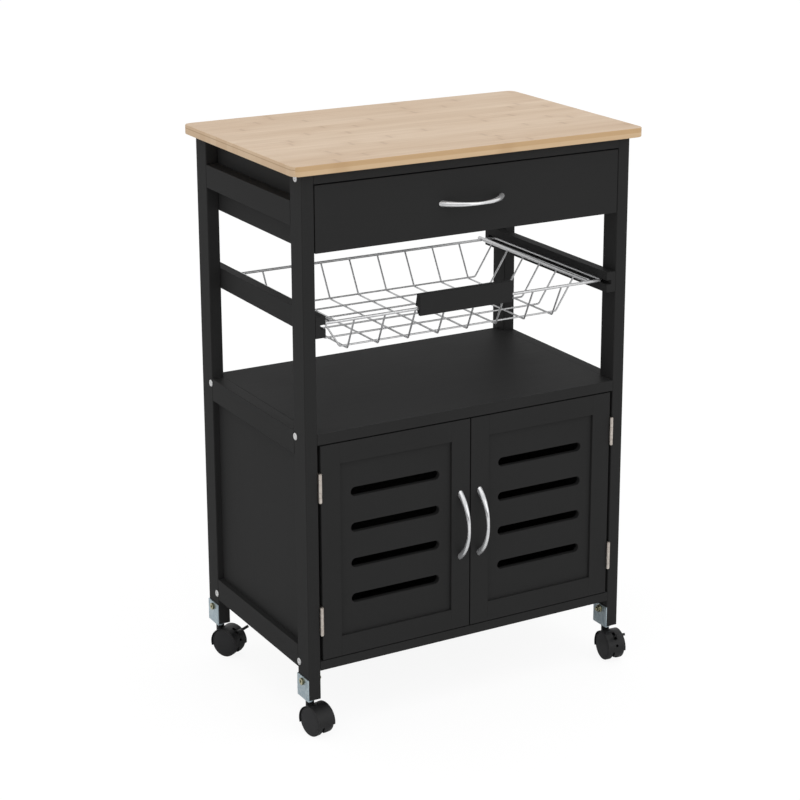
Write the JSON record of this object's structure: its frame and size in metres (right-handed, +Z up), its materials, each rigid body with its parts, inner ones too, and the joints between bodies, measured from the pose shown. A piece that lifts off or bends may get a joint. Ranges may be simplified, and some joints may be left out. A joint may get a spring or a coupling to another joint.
{
  "type": "kitchen cart",
  "caption": "Rolling kitchen cart with a bamboo worktop, black wooden frame, drawer, sliding wire basket, open shelf and a two-door cabinet on casters",
  "frame": {"origin": "Centre of the bounding box's bottom face: the wheels stand on Z = 0, and the box is centred in X and Y, drawer and door handles included.", "axes": "+Z up; +X to the right seen from the front; the front, with the doors and the drawer, faces -Y."},
  "size_m": [0.57, 0.3822, 0.837],
  "materials": {
    "black_paint": "satin black paint on wood",
    "bamboo": "light bamboo, satin clear lacquer",
    "chrome": "polished",
    "nickel": "nickel plated, satin",
    "bolt_steel": "zinc plated",
    "zinc": "zinc plated, pale blue-grey",
    "brass_screws": "yellow zinc plated",
    "wire": "plated wire, grey",
    "black_plastic": "black plastic"
  },
  "bodies": {
    "frame": {"worktop": "bamboo", "leg_front_left": "black_paint", "leg_front_right": "black_paint", "leg_rear_left": "black_paint", "leg_rear_right": "black_paint", "upper_side_rails": "black_paint", "middle_side_rails": "black_paint", "lower_side_rails": "black_paint", "front_top_rail": "black_paint", "rear_apron": "black_paint", "drawer_guide_left": "black_paint", "drawer_guide_right": "black_paint", "basket_rail_left": "black_paint", "basket_rail_right": "black_paint", "shelf": "black_paint", "cabinet_floor": "black_paint", "side_panel_left": "black_paint", "side_panel_right": "black_paint", "back_panel": "black_paint", "hinge_frame_leaves": "nickel", "hinge_pins": "nickel", "frame_bolts": "bolt_steel", "caster_brackets": "zinc", "bracket_bolts": "brass_screws", "door_catch": "black_plastic"},
    "drawer": {"drawer_front": "black_paint", "drawer_side_left": "black_paint", "drawer_side_right": "black_paint", "drawer_back": "black_paint", "drawer_bottom": "black_paint", "drawer_handle": "chrome", "drawer_handle_screws": "bolt_steel"},
    "basket": {"basket_rim": "wire", "basket_side_bars": "wire", "basket_cross_wires": "wire", "basket_long_wires": "wire", "basket_grip": "black_paint"},
    "door_left": {"door_frame_left": "black_paint", "door_panel_left": "black_paint", "door_handle_left": "chrome", "door_fixings_left": "bolt_steel", "door_leaves_left": "nickel"},
    "door_right": {"door_frame_right": "black_paint", "door_panel_right": "black_paint", "door_handle_right": "chrome", "door_fixings_right": "bolt_steel", "door_leaves_right": "nickel"},
    "caster_fl": {"caster_hood_fl": "black_plastic"},
    "wheels_fl": {"caster_wheels_fl": "black_plastic"},
    "caster_fr": {"caster_hood_fr": "black_plastic"},
    "wheels_fr": {"caster_wheels_fr": "black_plastic"},
    "brake_fr": {"brake_lever_fr": "black_plastic"},
    "caster_rl": {"caster_hood_rl": "black_plastic"},
    "wheels_rl": {"caster_wheels_rl": "black_plastic"},
    "brake_rl": {"brake_lever_rl": "black_plastic"},
    "caster_rr": {"caster_hood_rr": "black_plastic"},
    "wheels_rr": {"caster_wheels_rr": "black_plastic"}
  },
  "joints": [
    {"name": "drawer_slide", "type": "slide", "parent": "frame", "child": "drawer", "axis": [0, -1, 0], "range_m": [0, 0.24]},
    {"name": "basket_slide", "type": "slide", "parent": "frame", "child": "basket", "axis": [0, -1, 0], "range_m": [0, 0.2]},
    {"name": "door_left_hinge", "type": "hinge", "parent": "frame", "child": "door_left", "pos_m": [-0.24625, -0.15984, 0.2745], "axis": [0, 0, -1], "range_deg": [0, 170]},
    {"name": "door_right_hinge", "type": "hinge", "parent": "frame", "child": "door_right", "pos_m": [0.24625, -0.15984, 0.2745], "axis": [0, 0, 1], "range_deg": [0, 170]},
    {"name": "swivel_fl", "type": "hinge", "parent": "frame", "child": "caster_fl", "pos_m": [-0.258, -0.14069, 0.054], "axis": [0, 0, 1], "continuous": true},
    {"name": "wheel_fl", "type": "hinge", "parent": "caster_fl", "child": "wheels_fl", "pos_m": [-0.25467, -0.15634, 0.022], "axis": [0.9781, 0.2079, 0], "continuous": true},
    {"name": "swivel_fr", "type": "hinge", "parent": "frame", "child": "caster_fr", "pos_m": [0.258, -0.14069, 0.054], "axis": [0, 0, 1], "continuous": true},
    {"name": "wheel_fr", "type": "hinge", "parent": "caster_fr", "child": "wheels_fr", "pos_m": [0.25661, -0.15663, 0.022], "axis": [0.9962, -0.0872, 0], "continuous": true},
    {"name": "brake_fr", "type": "hinge", "parent": "caster_fr", "child": "brake_fr", "pos_m": [0.25587, -0.16505, 0.03789], "axis": [0.9962, -0.0872, 0], "range_deg": [0, 15]},
    {"name": "swivel_rl", "type": "hinge", "parent": "frame", "child": "caster_rl", "pos_m": [-0.258, 0.16681, 0.054], "axis": [0, 0, 1], "continuous": true},
    {"name": "wheel_rl", "type": "hinge", "parent": "caster_rl", "child": "wheels_rl", "pos_m": [-0.25024, 0.15281, 0.022], "axis": [0.8746, 0.4848, 0], "continuous": true},
    {"name": "brake_rl", "type": "hinge", "parent": "caster_rl", "child": "brake_rl", "pos_m": [-0.24615, 0.14542, 0.03789], "axis": [0.8746, 0.4848, 0], "range_deg": [0, 15]},
    {"name": "swivel_rr", "type": "hinge", "parent": "frame", "child": "caster_rr", "pos_m": [0.258, 0.16681, 0.054], "axis": [0, 0, 1], "continuous": true},
    {"name": "wheel_rr", "type": "hinge", "parent": "caster_rr", "child": "wheels_rr", "pos_m": [0.26294, 0.15159, 0.022], "axis": [0.9511, 0.309, 0], "continuous": true}
  ]
}
